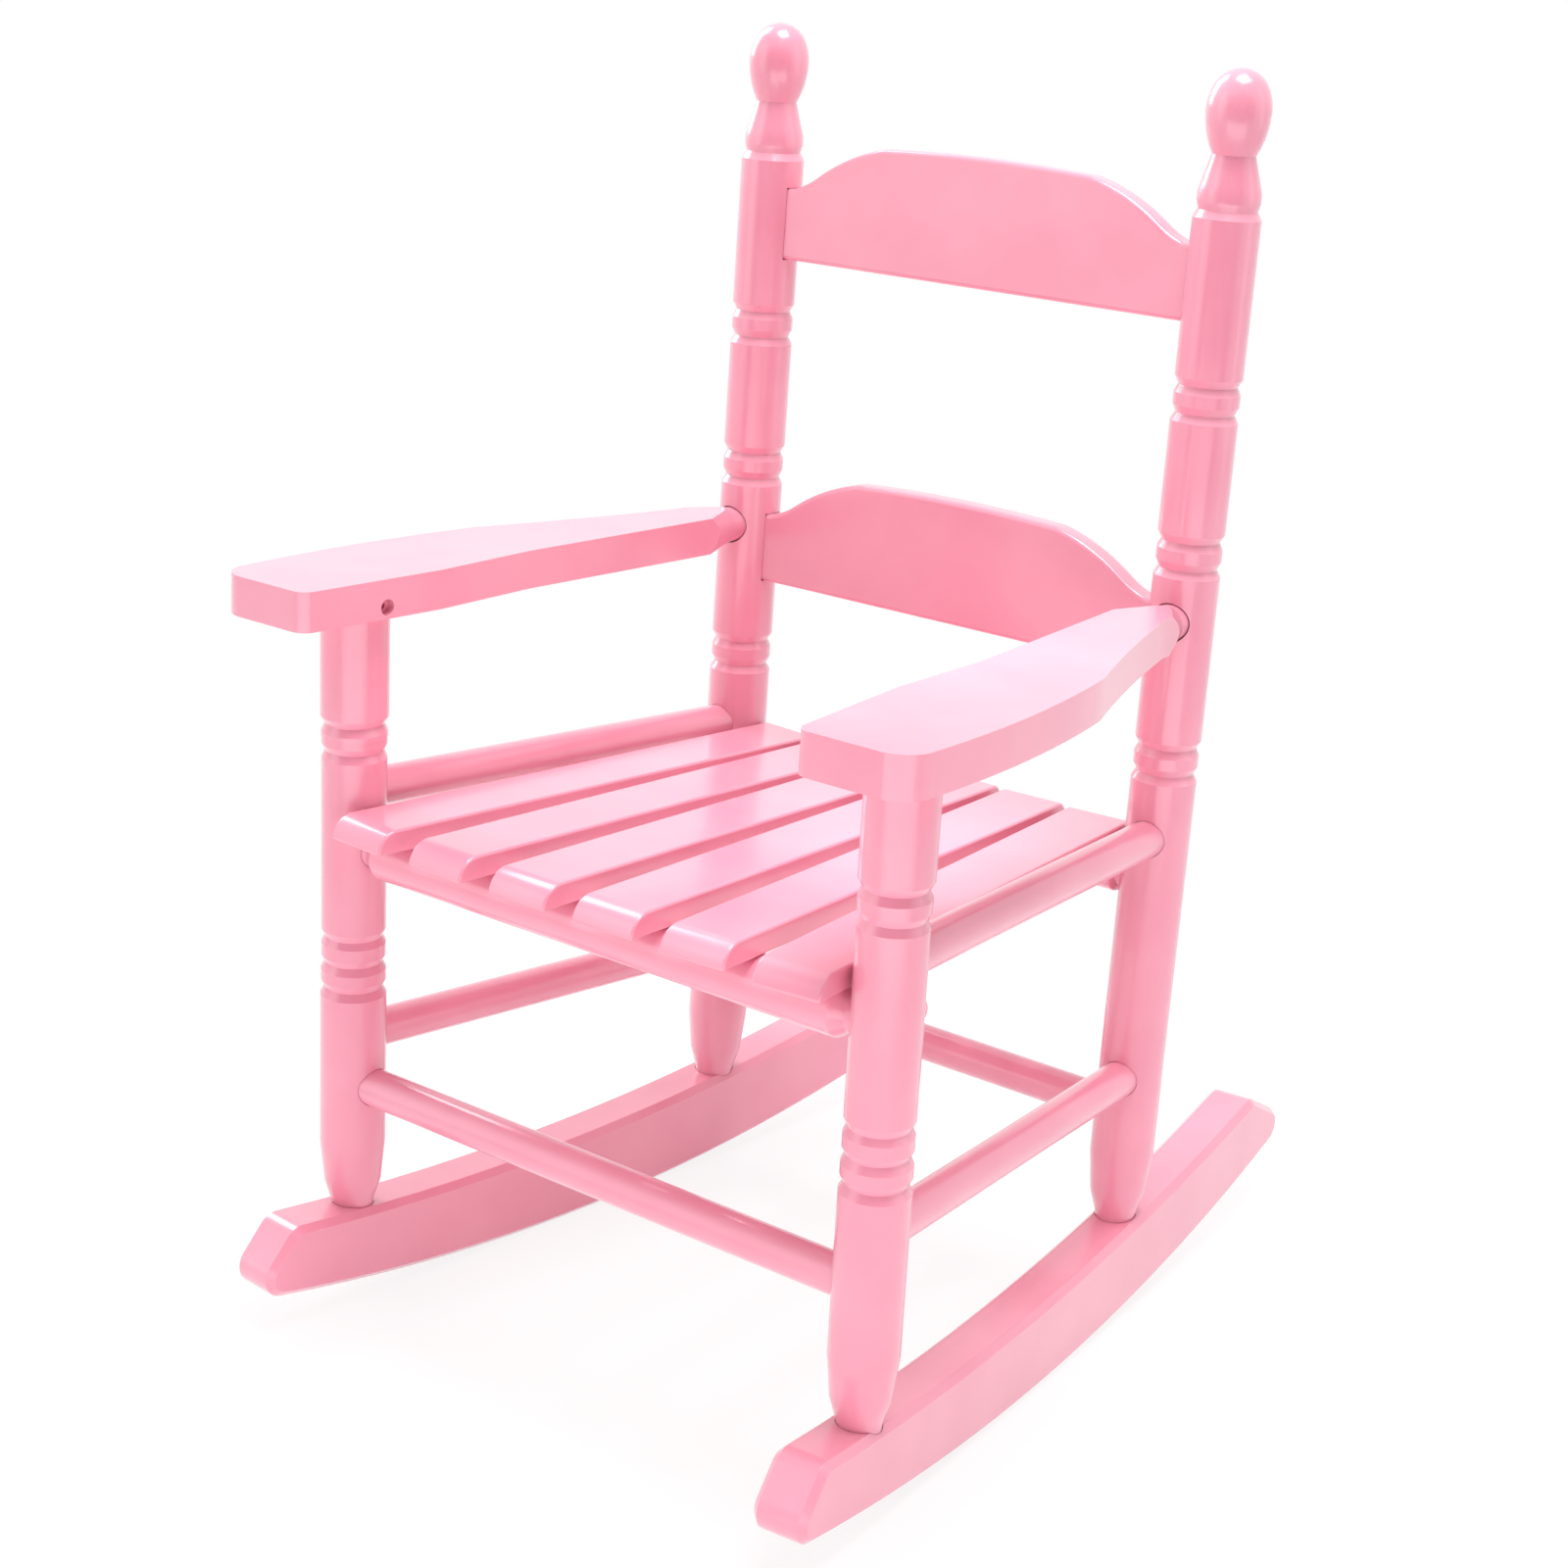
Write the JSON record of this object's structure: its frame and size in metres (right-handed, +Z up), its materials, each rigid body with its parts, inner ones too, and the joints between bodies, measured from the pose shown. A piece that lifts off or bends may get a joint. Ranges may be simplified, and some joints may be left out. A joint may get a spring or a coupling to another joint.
{
  "type": "child rocking chair",
  "caption": "Child-size ladder-back rocking chair in painted wood: turned posts with ringed beads and finials, slatted seat, paddle arms and curved rockers.",
  "frame": {"origin": "Middle of the bounding box in plan, on the floor that the rockers roll on.", "axes": "+Z up, -Y the way the sitter faces, +X to the sitter's left."},
  "size_m": [0.3594, 0.4728, 0.5803],
  "materials": {
    "pink_paint": "satin enamel over smooth sanded wood"
  },
  "bodies": {
    "root": {"armrest_left": "pink_paint", "armrest_right": "pink_paint", "back_post_left": "pink_paint", "back_post_right": "pink_paint", "back_seat_rail": "pink_paint", "back_stretcher": "pink_paint", "crest_slat": "pink_paint", "front_leg_left": "pink_paint", "front_leg_right": "pink_paint", "front_seat_rail": "pink_paint", "front_stretcher": "pink_paint", "lower_back_slat": "pink_paint", "rocker_left": "pink_paint", "rocker_right": "pink_paint", "seat_slat_1": "pink_paint", "seat_slat_2": "pink_paint", "seat_slat_3": "pink_paint", "seat_slat_4": "pink_paint", "seat_slat_5": "pink_paint", "seat_slat_6": "pink_paint", "side_seat_rail_left": "pink_paint", "side_seat_rail_right": "pink_paint", "side_stretcher_left": "pink_paint", "side_stretcher_right": "pink_paint"}
  },
  "joints": []
}
